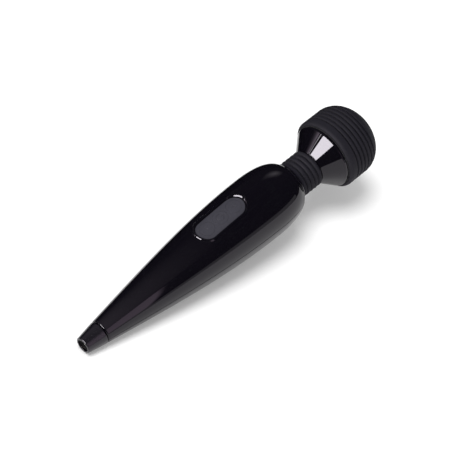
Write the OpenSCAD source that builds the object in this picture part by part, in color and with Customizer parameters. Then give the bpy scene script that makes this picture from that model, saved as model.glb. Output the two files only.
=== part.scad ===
// Handheld rechargeable wand massager, lying on its belly and head.
// The wand's axis runs along +X, from the charging end to the soft head.
// The keypad faces +Z. The origin is under the middle, at the head's lowest line.
// Stations are distances from the charging end, measured along the axis.

/* [Overall] */
// Length over everything
total_length = 300; // [298:0.5:302]
// Largest diameter, across the soft head
head_d = 60; // [60:0.25:61]

/* [Handle] */
// Length of the charging end's own cap
tail_length = 17; // [16.5:0.1:17.2]
// Radius of the cap at the charging end
tail_end_r = 6.8; // [6.6:0.1:7]
// Radius of the handle at the cap's seam
tail_seam_r = 9.5; // [9.4:0.1:9.8]
// Largest radius of the handle
belly_r = 27; // [26.8:0.1:27.5]
// Station of the largest radius
belly_station = 182; // [180:0.5:184]
// Station where the handle ends and the neck comes out
mouth_station = 218; // [217.8:0.1:218.4]
// Radius of the opening that the neck comes out of
mouth_r = 16; // [15.9:0.05:16.2]
// Wall of the two half shells
shell_wall = 2; // [1.8:0.1:2.1]

/* [Keypad] */
// Station of the middle key
keypad_station = 142.3; // [141.5:0.1:143]
// Distance from one key to the next
key_pitch = 14.1; // [13.9:0.1:14.3]
// Half of the keypad's width
keypad_half_w = 9; // [8.8:0.1:9.2]
// Radius of a key
key_r = 6; // [5.8:0.1:6.1]
// How far a key goes down
key_travel = 0.5; // [0.3:0.05:0.6]
// How far the pad lies below the shell
keypad_recess = 1.2; // [1:0.1:1.3]
// How far the frame round the pad stands up from the shell
frame_rise = 0.6; // [0.4:0.1:0.7]
// Width of the frame round the pad
frame_width = 2.4; // [2:0.1:2.6]

/* [Neck] */
// Station where the bellows meets the cone
cone_station = 240; // [239.8:0.1:240.2]
// Radius over the ridges of the bellows
ridge_r = 15.6; // [15.4:0.1:15.7]
// Radius in the grooves of the bellows
neck_groove_r = 14.1; // [13.9:0.1:14.3]
// Number of ridges
ridge_count = 5; // [4:1:6]
// Turns of the spring inside the neck
spring_turns = 8; // [6:1:9]

/* [Head] */
// Radius of the cone where it meets the neck
cone_small_r = 14.6; // [14.5:0.1:15]
// Radius of the cone's rim
cone_big_r = 26.8; // [26.6:0.1:26.9]
// Station of the cone's rim
rim_station = 254.5; // [254.3:0.1:254.6]
// Station of the soft cap's lip
lip_station = 256.7; // [256.6:0.1:256.9]
// Station where the cap reaches its full radius
band_station = 259.7; // [259.5:0.1:260]
// Station of the first groove round the cap
first_groove = 264.6; // [264.5:0.1:264.8]
// Distance from one groove to the next
groove_pitch = 3.8; // [3.6:0.05:3.9]
// Number of grooves round the cap
groove_count = 6; // [4:1:6]
// Station where the cap starts to dome
dome_station = 277.5; // [277:0.5:278]
// Thickness of the soft cap
cap_wall = 3; // [2.8:0.1:3.2]

/* [Charging socket] */
// Radius of the socket's mouth
socket_r = 5.1; // [5:0.05:5.2]
// Depth of the mouth in front of the jack
socket_depth = 1.8; // [1.6:0.1:2]
// Radius of the centre pin
pin_r = 1; // [0.9:0.05:1.05]

/* [Motor] */
// Radius of the motor
motor_r = 12.2; // [12:0.1:12.3]
// Station of the motor's back
motor_back = 250.5; // [250:0.1:251]
// Station of the motor's front
motor_front = 277.8; // [277.5:0.1:278]
// Radius of the motor's shaft
shaft_r = 1; // [0.9:0.05:1.1]

/* [Hidden] */

$fn = 64;
axis_z = head_d / 2;
seam = 0.4;
play = 0.1;
running_play = 0.04;
barrel_floor = 11;
jack_seat_r = 5.4;
pin_root_r = 1.5;
curve_steps = 12;
nose_steps = 7;
dome_steps = 9;

shell_start = tail_length + seam;
spigot_r = 7.4;
spigot_bore_r = 5.9;
spigot_length = 5.4;
edge_break = 0.4;
cell_r = 9.25;
cell_length = 65;
cell_y = 9.6;
cell_z = -5;
cell_start = 122;
saddle_length = 6;
tab_t = 0.3;

panel_t = 1.9;
ledge_t = 1.8;
ledge_half_w = key_r + 0.5;
panel_gap = 0.15;
key_gap = 0.1;
mark_depth = 0.15;
mark_half_w = 0.28;
mark_arm = 1.7;
board_z = 13;
board_t = 1.6;
board_start = 116;
board_end = 171;
board_half_w = 9.5;
board_top = board_z + board_t;
switch_w = 6;
switch_h = 3.4;
switch_floor = 0.8;
stem_r = 1.75;
stem_top = board_top + switch_h + 0.9;
stem_bottom = board_top + switch_floor + key_travel + 0.3;
post_r = 2;
board_screw_y = 7;
board_screw_stations = [board_start + 2.6, board_end - 2.6];

boss_r = 3;
screw_r = 1.15;
screw_head_r = 2.2;
screw_head_h = 1.4;
well_r = 2.5;
well_floor = -7;
screw_tip = 5;
shell_screw_places = [[38, 0], [104, 0], [199, 14], [199, -14]];

flange_t = 1.8;
mouth_lip = 4.5;
collar_t = 5.5;
collar_end = mouth_station - mouth_lip - flange_t - play;
spring_wire_r = 0.7;
spring_r = 8.8;
guide_r = 7.5;
wire_hole_r = 5.5;
neck_bore_r = 12.4;
front_sleeve_r = 12.2;
front_sleeve_bore_r = 10.3;
cone_wall = 2.2;
clamp_start = cone_station + 4.5;
clamp_end = 247.4;
spring_back = collar_end + play;
spring_front = clamp_start - play;

core_r = head_d / 2 - cap_wall - play;
core_wall = 2;
core_start = rim_station + 2.1;
core_joint = 274;
cone_screw_ring_r = 19.2;
tube_wall = 2;
front_wall_end = motor_front + 2;
motor_screw_y = 8;
boss_hole_r = 4.4;
groove_depth = 1.4;
groove_half_w = 0.9;
lip_inner_r = head_d / 2 - cap_wall;
cap_end_t = 3.2;

weight_start = 281.5;
weight_end = 290.5;
weight_r = 9;
shaft_back = 247;
core_back = 256;
core_front = 272;
wire_r = 0.65;

black_gloss = [0.05, 0.05, 0.06];
charcoal = [0.24, 0.24, 0.27];
grey_pad = [0.33, 0.33, 0.37];
inner_plastic = [0.16, 0.16, 0.17];
natural_plastic = [0.82, 0.81, 0.76];
board_green = [0.08, 0.32, 0.18];
steel = [0.72, 0.73, 0.75];
gold = [0.86, 0.68, 0.32];
brass_tone = [0.76, 0.6, 0.28];
copper = [0.72, 0.4, 0.22];
cell_blue = [0.16, 0.3, 0.55];
ferrite = [0.2, 0.2, 0.21];

// ---- outlines, as lists of [station, radius] ----

function bezier(p, t) =
    pow(1 - t, 3) * p[0] + 3 * t * pow(1 - t, 2) * p[1]
    + 3 * t * t * (1 - t) * p[2] + t * t * t * p[3];
function curve(p, steps, first = 0) = [for (i = [first : steps]) bezier(p, i / steps)];
function narrower(outline, by) = [for (p = outline) [p[0], p[1] - by]];
function reversed(list) = [for (i = [len(list) - 1 : -1 : 0]) list[i]];
function arc(station, radius, ds, dr, a0, a1, steps) =
    [for (i = [0 : steps])
        let (a = a0 + (a1 - a0) * i / steps)
        [station + ds * sin(a), radius + dr * cos(a)]];

taper = [
    [shell_start, tail_seam_r + 0.1],
    [75, 18.4],
    [128, belly_r],
    [belly_station, belly_r]
];
nose = [
    [belly_station, belly_r],
    [belly_station + 22, belly_r],
    [mouth_station - 4.5, 22.7],
    [mouth_station - 1.6, mouth_r + 1.6]
];
handle_outline = concat(curve(taper, curve_steps), curve(nose, nose_steps, 1));
function handle_r(station) = lookup(station, handle_outline);

// Elliptical dome from full radius down to the axis.
function dome(from, to, radius) = arc(from, 0, to - from, radius, 0, 90, dome_steps);

// ---- placing ----

module on_axis(station = 0) {
    translate([station - total_length / 2, 0, axis_z])
        children();
}

module lathe(outline) {
    on_axis() rotate([0, 90, 0]) rotate_extrude()
        polygon([for (p = outline) [p[1], p[0]]]);
}

module disc(from, to, r) {
    on_axis(from) rotate([0, 90, 0]) cylinder(h = to - from, r = r);
}

module ring(from, to, r_out, r_in) {
    difference() {
        disc(from, to, r_out);
        disc(from - 1, to + 1, r_in);
    }
}

module block(from, to, y0, y1, z0, z1) {
    on_axis(from) translate([0, y0, z0]) cube([to - from, y1 - y0, z1 - z0]);
}

module post(station, y, z0, z1, r) {
    on_axis(station) translate([0, y, z0]) cylinder(h = z1 - z0, r = r);
}

module stadium(half_w, z0, z1) {
    on_axis(keypad_station) translate([0, 0, z0]) linear_extrude(z1 - z0) union() {
        square([2 * key_pitch, 2 * half_w], center = true);
        for (side = [-1, 1]) translate([side * key_pitch, 0]) circle(r = half_w);
    }
}

// Solid of the handle's outer shape, drawn in by a distance.
module handle_solid(by = 0, from = shell_start, to = mouth_station) {
    outline = [for (p = handle_outline) if (p[0] > from && p[0] < to) p];
    inside = narrower(outline, by);
    lathe(concat(
        [[from, 0], [from, handle_r(from) - by]],
        inside,
        [[to, handle_r(to) - by], [to, 0]]
    ));
}

module shell_body() {
    cavity_end = mouth_station - mouth_lip;
    difference() {
        lathe(concat(
            [[shell_start, 0], [shell_start, tail_seam_r - 0.3]],
            [[shell_start + 0.4, tail_seam_r + 0.15]],
            [for (p = handle_outline) if (p[0] > shell_start + 1) p],
            arc(mouth_station - 1.6, mouth_r + 0.2, 1.6, 1.4, 15, 90, 4),
            [[mouth_station, 0]]
        ));
        handle_solid(shell_wall, shell_start + 6.4, cavity_end);
        disc(shell_start - 1, shell_start + spigot_length + 2.6, spigot_r + play);
        disc(mouth_station - 6, mouth_station + 1, mouth_r);
    }
}

module upper_half() {
    block(-1, total_length, -50, 50, 0, 50);
}

module lower_half() {
    block(-1, total_length, -50, 50, -50, 0);
}

// ---- handle ----

// Raised band round the pad, up to half a wall into the shell.
module keypad_frame() {
    difference() {
        intersection() {
            stadium(keypad_half_w + frame_width, board_top, belly_r + 1);
            handle_solid(-frame_rise);
        }
        handle_solid(shell_wall / 2);
    }
}

module upper_shell() {
    color(black_gloss) difference() {
        union() {
            intersection() {
                shell_body();
                upper_half();
            }
            keypad_frame();
            intersection() {
                handle_solid(0.5);
                union() {
                    difference() {
                        stadium(keypad_half_w + 2.4, board_top + 1, belly_r);
                        handle_solid(keypad_recess + panel_t + ledge_t);
                    }
                    for (s = board_screw_stations, side = [-1, 1])
                        post(s, side * board_screw_y, board_top, belly_r, 2.3);
                    for (p = shell_screw_places)
                        post(p[0], p[1], 0, belly_r, boss_r);
                }
            }
        }
        difference() {
            stadium(keypad_half_w, board_top, belly_r + 1);
            handle_solid(keypad_recess + panel_t + play / 2);
        }
        stadium(ledge_half_w, board_top - 1, belly_r + 1);
        for (s = board_screw_stations, side = [-1, 1])
            post(s, side * board_screw_y, board_top - 1, board_top + 3.6, 0.8);
        for (p = shell_screw_places)
            post(p[0], p[1], -1, screw_tip + 0.5, screw_r);
    }
}

module lower_shell() {
    color(black_gloss) difference() {
        union() {
            intersection() {
                shell_body();
                lower_half();
            }
            intersection() {
                handle_solid(0.5);
                for (p = shell_screw_places)
                    post(p[0], p[1], -belly_r, 0, boss_r + 0.7);
            }
        }
        for (p = shell_screw_places) {
            post(p[0], p[1], -belly_r - 1, well_floor, well_r);
            post(p[0], p[1], well_floor - 1, 1, screw_r + 0.2);
        }
    }
}

module tail_cap() {
    edge = 1;
    color(black_gloss) difference() {
        union() {
            lathe(concat(
                [[0, 0]],
                arc(edge, tail_end_r - edge, -edge, edge, 90, 0, 4),
                [[tail_length - edge_break, tail_seam_r - 0.05]],
                [[tail_length, tail_seam_r - edge_break], [tail_length, 0]]
            ));
            disc(tail_length - 1, shell_start + spigot_length, spigot_r);
        }
        disc(-1, socket_depth + 1, socket_r);
        disc(socket_depth, tail_length, jack_seat_r);
        disc(tail_length - 2, shell_start + spigot_length + 1, spigot_bore_r);
    }
}

module jack_housing() {
    color(inner_plastic) difference() {
        disc(socket_depth, tail_length - 2.5, jack_seat_r);
        disc(socket_depth - 1, barrel_floor, socket_r - 0.4);
        disc(tail_length - 7, tail_length, pin_root_r);
        jack_contact_shape(play / 4);
    }
}

module jack_pin() {
    tip = socket_depth + 0.4;
    color(steel) lathe([
        [tip, 0],
        [tip, pin_r - 0.35],
        [tip + 0.35, pin_r],
        [barrel_floor, pin_r],
        [barrel_floor, pin_root_r],
        [tail_length + 0.5, pin_root_r],
        [tail_length + 0.5, 0]
    ]);
}

// Leaf that lies along the top of the socket, with its tail through the jack's back wall.
module jack_contact_shape(grow = 0) {
    half_w = 2.6;
    leaf_t = 0.35;
    outer_r = socket_r - 0.45;
    intersection() {
        ring(socket_depth + 0.2, tail_length, outer_r + grow, outer_r - leaf_t - grow);
        block(0, tail_length, -half_w - grow, half_w + grow, 0, socket_r);
    }
}

module jack_contact() {
    color(gold) jack_contact_shape();
}

module pad_layer(gap) {
    difference() {
        intersection() {
            stadium(keypad_half_w - gap, board_top, belly_r + 1);
            handle_solid(keypad_recess);
        }
        handle_solid(keypad_recess + panel_t);
    }
}

module keypad_panel() {
    color(grey_pad) difference() {
        pad_layer(panel_gap);
        for (i = [-1 : 1])
            post(keypad_station + i * key_pitch, 0, board_top, belly_r + 1, key_r + key_gap);
    }
}

// Key number -1, 0 or 1, counted towards the head.
module key_body(i) {
    station = keypad_station + i * key_pitch;
    intersection() {
        pad_layer(panel_gap);
        post(station, 0, board_top, belly_r + 1, key_r);
    }
    post(station, 0, stem_top, handle_r(station) - keypad_recess - panel_t / 2, post_r);
}

// Marks on the keys: a plus, a minus, and an open ring with a bar.
module plus_mark(station) {
    minus_mark(station);
    block(station - mark_arm, station + mark_arm, -mark_half_w, mark_half_w,
        board_top, belly_r + 1);
}

module minus_mark(station) {
    block(station - mark_half_w, station + mark_half_w, -mark_arm, mark_arm,
        board_top, belly_r + 1);
}

module power_mark(station) {
    ring_r = 3;
    gap_half_w = 0.9;
    difference() {
        post(station, 0, board_top, belly_r + 1, ring_r + mark_half_w);
        post(station, 0, board_top - 1, belly_r + 2, ring_r - mark_half_w);
        block(station, station + ring_r + 1, -gap_half_w, gap_half_w, 0, belly_r + 2);
    }
    block(station + 1.1, station + 4, -mark_half_w, mark_half_w, board_top, belly_r + 1);
}

// A key with its mark sunk into the top.
module marked_key(i) {
    difference() {
        key_body(i);
        difference() {
            children();
            handle_solid(keypad_recess + mark_depth);
        }
    }
}

module key_minus() {
    color(grey_pad) marked_key(-1) minus_mark(keypad_station - key_pitch);
}

module key_power() {
    color(grey_pad) marked_key(0) power_mark(keypad_station);
}

module key_plus() {
    color(grey_pad) marked_key(1) plus_mark(keypad_station + key_pitch);
}

module stem(i) {
    color(natural_plastic) post(keypad_station + i * key_pitch, 0, stem_bottom, stem_top, stem_r);
}

module stem_minus() {
    stem(-1);
}

module stem_power() {
    stem(0);
}

module stem_plus() {
    stem(1);
}

module circuit_board() {
    color(board_green) difference() {
        block(board_start, board_end, -board_half_w, board_half_w, board_z, board_top);
        for (s = board_screw_stations, side = [-1, 1])
            post(s, side * board_screw_y, board_z - 1, board_top + 1, 1.05);
    }
}

module control_chips() {
    color(inner_plastic) for (i = [-0.5, 0.5])
        on_axis(keypad_station + i * key_pitch) translate([-2, -2.5, board_top])
            cube([4, 5, 1.5]);
}

module tact_switches() {
    color(steel) for (i = [-1 : 1]) difference() {
        on_axis(keypad_station + i * key_pitch)
            translate([-switch_w / 2, -switch_w / 2, board_top])
            cube([switch_w, switch_w, switch_h]);
        post(keypad_station + i * key_pitch, 0, board_top + switch_floor, board_top + 5,
            stem_r + running_play);
    }
}

// Pan-head screw that points up, with its head below z.
module screw_up(station, y, z, tip, r, head_r, head_h) {
    post(station, y, z - 0.01, tip, r);
    difference() {
        post(station, y, z - head_h, z, head_r);
        for (turn = [0, 90])
            on_axis(station) translate([0, y, z - head_h]) rotate([0, 0, turn])
                cube([head_r * 1.2, 0.5, 1], center = true);
    }
}

module board_screws() {
    color(steel) for (s = board_screw_stations, side = [-1, 1])
        screw_up(s, side * board_screw_y, board_z, board_top + 3.4, 0.8, 1.7, 1.1);
}

module shell_screws() {
    color(steel) for (p = shell_screw_places)
        screw_up(p[0], p[1], well_floor, screw_tip, screw_r, screw_head_r, screw_head_h);
}

module cells(grow = 0) {
    for (side = [-1, 1])
        on_axis(cell_start - grow) translate([0, side * cell_y, cell_z]) rotate([0, 90, 0])
            cylinder(h = cell_length + 2 * grow, r = cell_r + grow);
}

module battery_cells() {
    color(cell_blue) cells();
}

// Two saddles that follow the lower shell, joined by a keel between the cells.
module battery_cradle() {
    first = cell_start + 4;
    last = cell_start + cell_length - 4 - saddle_length;
    color(inner_plastic) difference() {
        union() {
            for (s = [first, last]) intersection() {
                handle_solid(shell_wall + play);
                block(s, s + saddle_length, -belly_r, belly_r, -belly_r, cell_z + 1);
            }
            block(first, last + 1, -2.5, 2.5, -18, cell_z - 5);
        }
        cells(play);
    }
}

module battery_tabs() {
    half = 3;
    back = cell_start - tab_t;
    front = cell_start + cell_length;
    color(steel) {
        block(front, front + tab_t, -cell_y - half, cell_y + half, cell_z - half, cell_z + half);
        for (side = [-1, 1])
            block(back, back + tab_t, side * cell_y - half, side * cell_y + half,
                cell_z - half, cell_z + half);
    }
}

module neck_collar() {
    start = collar_end - collar_t;
    outer_r = handle_r(collar_end) - shell_wall - 1.4;
    color(inner_plastic) difference() {
        union() {
            disc(start, collar_end, outer_r);
            disc(start, collar_end + 3, guide_r);
        }
        disc(start - 1, collar_end + 4, wire_hole_r);
    }
}

// ---- wires ----

// Round wire swept along points, with a flat ring of points at each corner.
// The wire never runs along the direction given by level.
module wire(points, r = wire_r, level = [0, 1, 0], sides = 8) {
    count = len(points);
    function heading(i) =
        let (a = points[max(i - 1, 0)], b = points[min(i + 1, count - 1)])
        (b - a) / norm(b - a);
    function across(d) = cross(d, level) / norm(cross(d, level));
    corners = [
        for (i = [0 : count - 1])
            let (d = heading(i), u = across(d), v = cross(d, u))
            for (k = [0 : sides - 1])
                points[i] + r * (cos(360 * k / sides) * u + sin(360 * k / sides) * v)
    ];
    sides_faces = [
        for (i = [0 : count - 2], k = [0 : sides - 1])
            let (n = (k + 1) % sides, a = i * sides, b = a + sides)
            [a + k, a + n, b + n, b + k]
    ];
    start_face = [for (k = [sides - 1 : -1 : 0]) k];
    end_face = [for (k = [0 : sides - 1]) (count - 1) * sides + k];
    polyhedron(points = corners, faces = concat(sides_faces, [start_face, end_face]));
}

function smooth_route(p, steps) =
    [for (i = [0 : steps]) bezier(p, i / steps)];

module charge_wires() {
    color("firebrick") on_axis() for (side = [-1, 1]) wire(smooth_route([
        [tail_length + 1.3, side * 1.7, 0],
        [60, side * 9, 2],
        [80, side * 6, 14],
        [board_start + 1, side * 4, board_z - wire_r - play]
    ], 14));
}

module battery_wires() {
    color("firebrick") on_axis() for (side = [-1, 1]) wire(smooth_route([
        [cell_start - tab_t - play, side * (cell_y - 1), cell_z + 1],
        [cell_start - 12, side * (cell_y - 1), cell_z + 2],
        [cell_start - 14, side * 2, board_z - wire_r - play],
        [board_start + 2, side * 2, board_z - wire_r - play]
    ], 14));
}

// Pair of leads from the board through the neck to the motor's terminals.
module motor_wires() {
    color("dimgray") on_axis() for (side = [-1, 1]) wire(concat(
        smooth_route([
            [board_end - 1, side * 2, board_z - wire_r - play],
            [board_end + 14, side * 2, board_z - 2],
            [board_end + 10, side * 2, 0],
            [board_end + 32, side * 2, 0]
        ], 12),
        [[clamp_end - 4, side * 2, 0], [clamp_end - 0.6, side * 5, 0]]
    ));
}

// ---- neck ----

// Ridges as half-sine waves between the mouth and the cone.
function ridge_outline() =
    let (start = mouth_station + 0.4, length = cone_station - 0.3 - start, per_ridge = 6)
    [for (i = [0 : ridge_count * per_ridge])
        let (u = i / per_ridge)
        [start + length * u / ridge_count,
            neck_groove_r + (ridge_r - neck_groove_r) * abs(sin(180 * u))]];

module neck_bellows() {
    flange_front = mouth_station - mouth_lip;
    flange_back = flange_front - flange_t;
    front_flange = cone_station + 2.7;
    color(charcoal) difference() {
        union() {
            lathe(concat([[mouth_station, 0]], [[mouth_station, neck_groove_r]],
                ridge_outline(), [[cone_station - 0.2, neck_groove_r], [cone_station - 0.2, 0]]));
            disc(flange_back, flange_front, 18);
            disc(flange_back, mouth_station + 0.4, mouth_r - 0.4);
            disc(cone_station - 1, front_flange + 1.7, front_sleeve_r);
            disc(front_flange, front_flange + 1.7, front_sleeve_r + 1.3);
        }
        disc(flange_back - 1, cone_station - 2, neck_bore_r);
        disc(flange_back - 1, front_flange + 3, front_sleeve_bore_r);
    }
}

module neck_spring() {
    per_turn = 14;
    length = spring_front - spring_back - 2 * spring_wire_r;
    color(steel) on_axis(spring_back + spring_wire_r) wire([
        for (i = [0 : spring_turns * per_turn])
            let (a = 360 * i / per_turn)
            [length * i / (spring_turns * per_turn), spring_r * cos(a), spring_r * sin(a)]
    ], spring_wire_r, [1, 0, 0]);
}

// ---- head ----

module head_cone() {
    slope = (cone_big_r - cone_small_r) / (rim_station - cone_station);
    wall_r = cone_wall * sqrt(1 + slope * slope);
    inner_start = cone_station + 2.6;
    inner_start_r = cone_small_r + slope * (inner_start - cone_station) - wall_r;
    inner_end_r = cone_big_r - cone_wall;
    inner_end = rim_station + (wall_r - cone_wall) / slope;
    color(black_gloss) difference() {
        union() {
            difference() {
                lathe([
                    [cone_station, 0],
                    [cone_station, cone_small_r - 0.5],
                    [cone_station + 0.4, cone_small_r + 0.2],
                    [rim_station, cone_big_r],
                    [core_start - play, cone_big_r],
                    [core_start - play, 0]
                ]);
                lathe([
                    [inner_start, 0],
                    [inner_start, inner_start_r],
                    [inner_end, inner_end_r],
                    [core_start + 1, inner_end_r],
                    [core_start + 1, 0]
                ]);
            }
            intersection() {
                lathe([
                    [cone_station, 0],
                    [cone_station, cone_small_r - 1],
                    [rim_station, cone_big_r - 1],
                    [core_start - play, cone_big_r - 1],
                    [core_start - play, 0]
                ]);
                cone_bosses(2.6, 249, core_start - play);
            }
        }
        disc(cone_station - 1, inner_start + 1, front_sleeve_r + play);
        cone_bosses(screw_r, 250.5, core_start + 1);
    }
}

module cone_bosses(r, from, to) {
    for (turn = [0 : 120 : 240])
        on_axis(from) rotate([turn, 0, 0]) translate([0, 0, cone_screw_ring_r])
            rotate([0, 90, 0]) cylinder(h = to - from, r = r);
}

module neck_flange() {
    color(inner_plastic) difference() {
        union() {
            disc(clamp_start, clamp_end, 15);
            disc(clamp_start - 3.4, clamp_end, guide_r);
        }
        disc(clamp_start - 5, clamp_end + 1, wire_hole_r + 0.6);
    }
}

module cone_screws() {
    color(steel) {
        cone_bosses(screw_r, 251, core_start + core_wall + 0.01);
        difference() {
            cone_bosses(screw_head_r, core_start + core_wall, core_start + core_wall + 1.4);
            cone_bosses(0.9, core_start + core_wall + 0.8, core_start + core_wall + 2);
        }
    }
}

module motor_housing() {
    tube_r = motor_r + tube_wall;
    color(inner_plastic) difference() {
        union() {
            ring(core_start, core_joint, core_r, core_r - core_wall);
            disc(core_start, core_start + core_wall, core_r - core_wall / 2);
            disc(core_start, front_wall_end, tube_r);
        }
        disc(core_start - 1, motor_front + play, motor_r + play / 2);
        disc(motor_front - 1, front_wall_end + 1, boss_hole_r);
        cone_bosses(screw_r + 0.2, core_start - 1, core_start + core_wall + 1);
        for (side = [-1, 1])
            on_axis(motor_front) translate([0, side * motor_screw_y, 0]) rotate([0, 90, 0])
                cylinder(h = 4, r = screw_r + 0.2);
    }
}

module motor_screws() {
    color(steel) for (side = [-1, 1]) on_axis() translate([0, side * motor_screw_y, 0])
        rotate([0, 90, 0]) {
            translate([0, 0, motor_front - 1]) cylinder(h = front_wall_end - motor_front + 1.01,
                r = screw_r);
            difference() {
                translate([0, 0, front_wall_end]) cylinder(h = 1, r = 2);
                translate([-1.4, -0.25, front_wall_end + 0.5]) cube([2.8, 0.5, 1]);
            }
        }
}

module housing_dome() {
    tongue_r = core_r - core_wall - play;
    color(natural_plastic) difference() {
        union() {
            lathe(concat([[core_joint, 0], [core_joint, core_r]],
                dome(dome_station, total_length - cap_end_t - play, core_r)));
            disc(core_joint - 4, core_joint + 1, tongue_r);
        }
        lathe(concat([[core_joint - 5, 0], [core_joint - 5, tongue_r - core_wall]],
            dome(dome_station, total_length - cap_end_t - core_wall, tongue_r - core_wall)));
    }
}

// Grooves that narrow towards the bottom and follow the dome.
module cap_grooves() {
    w = groove_half_w;
    for (i = [0 : groove_count - 1]) {
        s = first_groove + i * groove_pitch;
        u = max(0, (s - dome_station) / (total_length - dome_station));
        r = head_d / 2 * sqrt(1 - u * u);
        lathe([
            [s - 1.5 * w, r + 3],
            [s - w, r + 0.05],
            [s - 0.4 * w, r - groove_depth],
            [s + 0.4 * w, r - groove_depth],
            [s + w, r + 0.05],
            [s + 1.5 * w, r + 3]
        ]);
    }
}

module head_cap() {
    full_r = head_d / 2;
    lip = band_station - lip_station;
    color(charcoal) difference() {
        lathe(concat(
            [[lip_station, 0]],
            arc(band_station, lip_inner_r + 0.4, -lip, full_r - lip_inner_r - 0.4, 90, 0, 6),
            dome(dome_station, total_length, full_r)
        ));
        lathe(concat(
            [[lip_station - 1, 0], [lip_station - 1, lip_inner_r]],
            dome(dome_station, total_length - cap_end_t, lip_inner_r)
        ));
        cap_grooves();
    }
}

// ---- motor ----

module motor_can() {
    color(steel) difference() {
        disc(motor_back, motor_front, motor_r);
        disc(motor_back - 1, motor_front - 1, motor_r - 1);
        disc(motor_front - 2, motor_front + 1, 3);
        for (side = [-1, 1])
            on_axis(motor_front - 1.5) translate([0, side * motor_screw_y, 0])
                rotate([0, 90, 0]) cylinder(h = 2, r = screw_r);
    }
}

module motor_end_bell() {
    color(natural_plastic) difference() {
        union() {
            disc(motor_back - 2, motor_back, motor_r);
            ring(motor_back - 0.5, motor_back + 3.6, motor_r - 1, 7);
        }
        disc(motor_back - 4, motor_back + 5, 3);
        motor_terminal_slots();
    }
}

module motor_terminal_slots() {
    for (side = [-1, 1])
        block(motor_back - 4, motor_back + 0.1, side * 5 - 0.25, side * 5 + 0.25, -1.5, 1.5);
}

module motor_terminals() {
    color(brass_tone) for (side = [-1, 1])
        block(motor_back - 2.9, motor_back + 0.1, side * 5 - 0.25, side * 5 + 0.25, -1.5, 1.5);
}

module motor_bushes() {
    color(brass_tone) {
        ring(motor_back - 2.6, motor_back + 0.4, 3, shaft_r + running_play);
        ring(motor_front - 3, motor_front + 1.4, 3, shaft_r + running_play);
    }
}

module motor_magnets() {
    color(ferrite) for (side = [-1, 1]) intersection() {
        ring(core_back - 0.4, core_front + 0.4, motor_r - 1, 8.8);
        block(core_back - 1, core_front + 1, -7.6, 7.6,
            side > 0 ? 0 : -motor_r, side > 0 ? motor_r : 0);
    }
}

module motor_brushes() {
    color(copper) for (side = [-1, 1])
        block(motor_back + 1.6, motor_back + 3.2, -1, 1,
            side > 0 ? 2.66 : -6.9, side > 0 ? 6.9 : -2.66);
}

module motor_shaft() {
    color(steel) disc(shaft_back, weight_end + 0.6, shaft_r);
}

module rotor_arms(from, to, r0, r1, half_w) {
    for (turn = [0 : 120 : 240])
        on_axis(from) rotate([turn, 0, 0]) translate([0, -half_w, r0])
            cube([to - from, 2 * half_w, r1 - r0]);
}

module rotor_core() {
    gap_half_w = 1;
    color(ferrite) difference() {
        union() {
            disc(core_back, core_front, 3);
            rotor_arms(core_back, core_front, 2, 7.6, 1.6);
            difference() {
                ring(core_back, core_front, 8.4, 7.2);
                for (turn = [60 : 120 : 300])
                    on_axis(core_back - 1) rotate([turn, 0, 0])
                        translate([0, -gap_half_w, 0])
                        cube([core_front - core_back + 2, 2 * gap_half_w, 10]);
            }
        }
        disc(core_back - 1, core_front + 1, shaft_r);
    }
}

module rotor_windings() {
    color(copper) difference() {
        rotor_arms(core_back - 1.2, core_front + 1.2, 3.5, 6.4, 3);
        rotor_arms(core_back, core_front, 2, 7.6, 1.6);
    }
}

module commutator() {
    color(copper) ring(motor_back + 1, motor_back + 4, 2.6, shaft_r);
}

module eccentric_weight() {
    color(brass_tone) difference() {
        union() {
            disc(weight_start, weight_end, 3.4);
            intersection() {
                disc(weight_start, weight_end, weight_r);
                block(weight_start - 1, weight_end + 1, -weight_r, weight_r, -weight_r, 0);
            }
        }
        disc(weight_start - 1, weight_end + 1, shaft_r);
    }
}

upper_shell();
lower_shell();
tail_cap();
jack_housing();
jack_pin();
jack_contact();
keypad_panel();
key_plus();
key_power();
key_minus();
stem_plus();
stem_power();
stem_minus();
circuit_board();
control_chips();
tact_switches();
board_screws();
battery_cradle();
battery_cells();
battery_tabs();
shell_screws();
neck_collar();
charge_wires();
battery_wires();
motor_wires();
neck_bellows();
neck_spring();
head_cone();
neck_flange();
cone_screws();
motor_housing();
motor_screws();
housing_dome();
head_cap();
motor_can();
motor_end_bell();
motor_bushes();
motor_magnets();
motor_brushes();
motor_terminals();
motor_shaft();
rotor_core();
rotor_windings();
commutator();
eccentric_weight();
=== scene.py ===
import math

import bmesh
import bpy
import numpy as np
from mathutils import Matrix, Vector


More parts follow.
